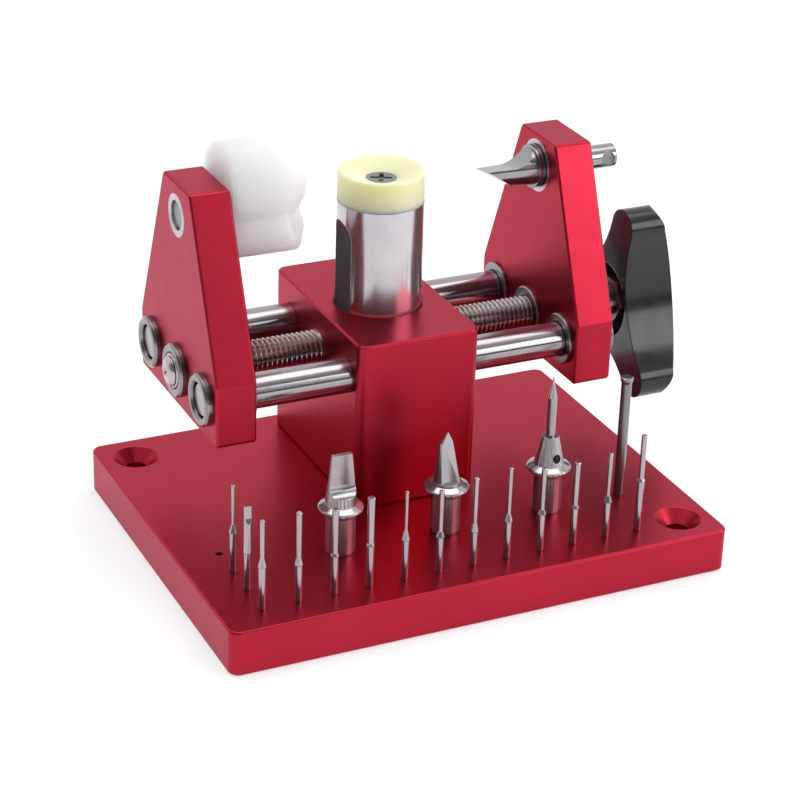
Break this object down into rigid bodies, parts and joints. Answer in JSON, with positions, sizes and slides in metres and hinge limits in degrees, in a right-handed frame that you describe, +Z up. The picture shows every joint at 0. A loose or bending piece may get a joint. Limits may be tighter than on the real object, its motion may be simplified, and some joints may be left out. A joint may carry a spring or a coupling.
{
  "type": "watch case opener",
  "caption": "Bench tool that opens a watch case: a knob and screw close two jaws with a soft pad and a blade towards a watch lying on a sliding centre post.",
  "frame": {"origin": "centre of the base plate's underside", "axes": "+X along the guide rods towards the knob, +Y to the back, away from the row of pins, +Z up"},
  "size_m": [0.168, 0.114, 0.1168],
  "materials": {
    "red_base": "red anodised, satin",
    "red_block": "red anodised, satin",
    "red_jaw": "red anodised, satin",
    "black_screw": "black oxide",
    "polished_post": "polished",
    "soft_cap": "translucent pale yellow, soft",
    "zinc_screw": "zinc plated",
    "ground_rod": "ground and polished",
    "lead_screw": "cut thread, lightly oiled",
    "black_plastic": "moulded, glossy",
    "brass_insert": "turned",
    "zinc_nut": "zinc plated",
    "turned_steel": "turned, bright",
    "white_nylon": "natural nylon, slightly translucent",
    "tool_steel": "ground tool steel",
    "pin_steel": "ground and polished"
  },
  "bodies": {
    "frame": {"base_plate": "red_base", "centre_block": "red_block", "block_screws": "black_screw", "post_lock_screw": "black_screw", "screw_keeper": "black_screw", "front_rod": "ground_rod", "back_rod": "ground_rod"},
    "screw": {"lead_screw": "lead_screw", "knob": "black_plastic", "knob_insert": "brass_insert", "knob_nut": "zinc_nut"},
    "left_jaw": {"left_jaw": "red_jaw", "left_tool_bush": "turned_steel", "left_front_outer_bush": "turned_steel", "left_front_inner_bush": "turned_steel", "left_back_outer_bush": "turned_steel", "left_back_inner_bush": "turned_steel", "left_outer_nut": "turned_steel", "left_inner_nut": "turned_steel"},
    "right_jaw": {"right_jaw": "red_jaw", "right_tool_bush": "turned_steel", "right_front_outer_bush": "turned_steel", "right_front_inner_bush": "turned_steel", "right_back_outer_bush": "turned_steel", "right_back_inner_bush": "turned_steel", "right_outer_nut": "turned_steel", "right_inner_nut": "turned_steel"},
    "post": {"post": "polished_post", "post_cap": "soft_cap", "cap_screw": "zinc_screw"},
    "pad": {"nylon_pad": "white_nylon"},
    "blade": {"lifting_blade": "tool_steel"},
    "chisel": {"chisel_tool": "tool_steel"},
    "knife": {"knife_tool": "tool_steel"},
    "pin_holder": {"pin_holder": "tool_steel", "needle_pin": "pin_steel"},
    "tommy_bar": {"tommy_bar": "pin_steel"},
    "pin_1": {"tool_pin_1": "pin_steel"},
    "pin_2": {"tool_pin_2": "pin_steel"},
    "pin_3": {"tool_pin_3": "pin_steel"},
    "pin_4": {"tool_pin_4": "pin_steel"},
    "pin_5": {"tool_pin_5": "pin_steel"},
    "pin_6": {"tool_pin_6": "pin_steel"},
    "pin_7": {"tool_pin_7": "pin_steel"},
    "pin_8": {"tool_pin_8": "pin_steel"},
    "pin_9": {"tool_pin_9": "pin_steel"},
    "pin_10": {"tool_pin_10": "pin_steel"},
    "pin_11": {"tool_pin_11": "pin_steel"},
    "pin_12": {"tool_pin_12": "pin_steel"},
    "pin_13": {"tool_pin_13": "pin_steel"},
    "pin_14": {"tool_pin_14": "pin_steel"}
  },
  "joints": [
    {"name": "screw_turn", "type": "hinge", "parent": "frame", "child": "screw", "pos_m": [0.076, 0.0213, 0.0516], "axis": [-1, 0, 0], "range_deg": [0, 2340]},
    {"name": "left_jaw_slide", "type": "slide", "parent": "frame", "child": "left_jaw", "axis": [1, 0, 0], "range_m": [0, 0.00985]},
    {"name": "right_jaw_slide", "type": "slide", "parent": "frame", "child": "right_jaw", "axis": [-1, 0, 0], "range_m": [0, 0.00985]},
    {"name": "post_slide", "type": "slide", "parent": "frame", "child": "post", "axis": [0, 0, 1], "range_m": [-0.031, 0.006]},
    {"name": "pad_turn", "type": "hinge", "parent": "left_jaw", "child": "pad", "pos_m": [-0.0488, 0.0213, 0.0977], "axis": [1, 0, 0], "continuous": true},
    {"name": "blade_turn", "type": "hinge", "parent": "right_jaw", "child": "blade", "pos_m": [0.0502, 0.0213, 0.0977], "axis": [1, 0, 0], "continuous": true},
    {"name": "chisel_lift", "type": "slide", "parent": "frame", "child": "chisel", "axis": [0, 0, 1], "range_m": [0, 0.03]},
    {"name": "knife_lift", "type": "slide", "parent": "frame", "child": "knife", "axis": [0, 0, 1], "range_m": [0, 0.03]},
    {"name": "pin_holder_lift", "type": "slide", "parent": "frame", "child": "pin_holder", "axis": [0, 0, 1], "range_m": [0, 0.03]},
    {"name": "tommy_bar_lift", "type": "slide", "parent": "frame", "child": "tommy_bar", "axis": [0, 0, 1], "range_m": [0, 0.02]},
    {"name": "pin_1_lift", "type": "slide", "parent": "frame", "child": "pin_1", "axis": [0, 0, 1], "range_m": [0, 0.02]},
    {"name": "pin_2_lift", "type": "slide", "parent": "frame", "child": "pin_2", "axis": [0, 0, 1], "range_m": [0, 0.02]},
    {"name": "pin_3_lift", "type": "slide", "parent": "frame", "child": "pin_3", "axis": [0, 0, 1], "range_m": [0, 0.02]},
    {"name": "pin_4_lift", "type": "slide", "parent": "frame", "child": "pin_4", "axis": [0, 0, 1], "range_m": [0, 0.02]},
    {"name": "pin_5_lift", "type": "slide", "parent": "frame", "child": "pin_5", "axis": [0, 0, 1], "range_m": [0, 0.02]},
    {"name": "pin_6_lift", "type": "slide", "parent": "frame", "child": "pin_6", "axis": [0, 0, 1], "range_m": [0, 0.02]},
    {"name": "pin_7_lift", "type": "slide", "parent": "frame", "child": "pin_7", "axis": [0, 0, 1], "range_m": [0, 0.02]},
    {"name": "pin_8_lift", "type": "slide", "parent": "frame", "child": "pin_8", "axis": [0, 0, 1], "range_m": [0, 0.02]},
    {"name": "pin_9_lift", "type": "slide", "parent": "frame", "child": "pin_9", "axis": [0, 0, 1], "range_m": [0, 0.02]},
    {"name": "pin_10_lift", "type": "slide", "parent": "frame", "child": "pin_10", "axis": [0, 0, 1], "range_m": [0, 0.02]},
    {"name": "pin_11_lift", "type": "slide", "parent": "frame", "child": "pin_11", "axis": [0, 0, 1], "range_m": [0, 0.02]},
    {"name": "pin_12_lift", "type": "slide", "parent": "frame", "child": "pin_12", "axis": [0, 0, 1], "range_m": [0, 0.02]},
    {"name": "pin_13_lift", "type": "slide", "parent": "frame", "child": "pin_13", "axis": [0, 0, 1], "range_m": [0, 0.02]},
    {"name": "pin_14_lift", "type": "slide", "parent": "frame", "child": "pin_14", "axis": [0, 0, 1], "range_m": [0, 0.02]}
  ],
  "couplings": [
    {"joint": "left_jaw_slide", "follows": "screw_turn", "m_per_rad": 0.00023873},
    {"joint": "right_jaw_slide", "follows": "screw_turn", "m_per_rad": 0.00023873}
  ]
}
